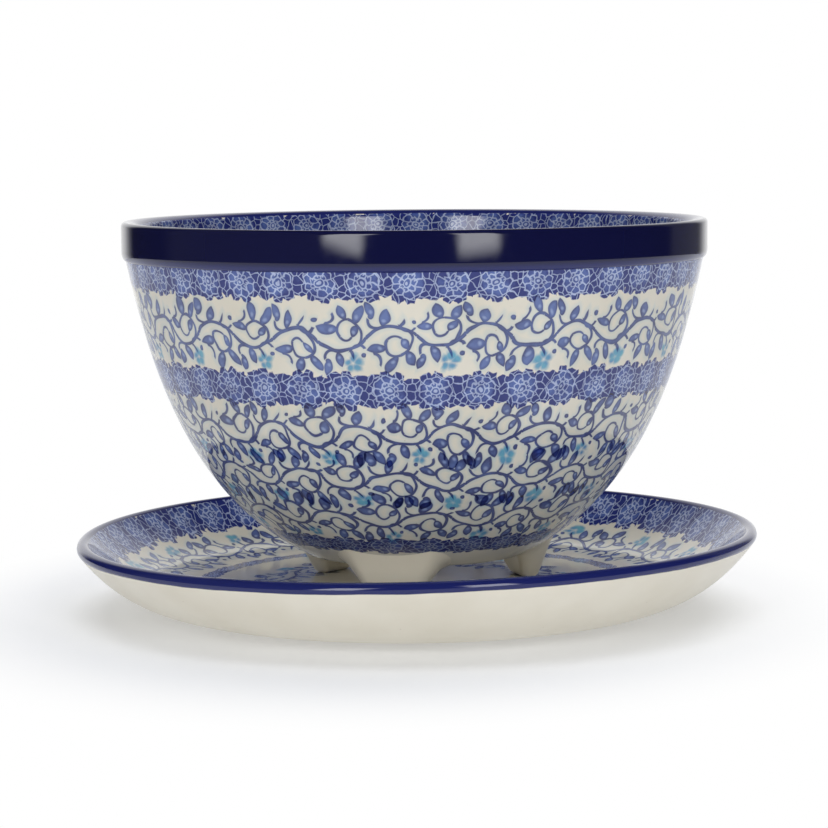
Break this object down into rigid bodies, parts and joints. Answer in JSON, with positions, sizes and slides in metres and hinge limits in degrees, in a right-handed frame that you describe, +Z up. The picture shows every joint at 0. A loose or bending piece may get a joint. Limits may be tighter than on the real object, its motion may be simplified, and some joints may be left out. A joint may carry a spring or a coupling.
{
  "type": "berry bowl",
  "caption": "Deep round colander bowl with a thick rim collar, standing on short feet in a shallow round drip saucer.",
  "frame": {"origin": "on the table, at the middle of the saucer's foot ring", "axes": "+Z up along the common axis of bowl and saucer, -Y towards the viewer of the picture, +X to the right"},
  "size_m": [0.2, 0.2, 0.1148],
  "materials": {
    "printed_glaze": "glossy clear glaze over a cobalt print, with a solid cobalt rim",
    "cream_glaze": "glossy clear glaze over cream stoneware",
    "saucer_glaze": "glossy clear glaze, cobalt print above and plain cream below"
  },
  "bodies": {
    "saucer": {"saucer": "saucer_glaze"},
    "bowl": {"bowl": "printed_glaze", "foot_front": "cream_glaze", "foot_right": "cream_glaze", "foot_left": "cream_glaze"}
  },
  "joints": [
    {"name": "bowl_lift", "type": "slide", "parent": "saucer", "child": "bowl", "axis": [0, 0, 1], "range_m": [0, 0.15]}
  ]
}
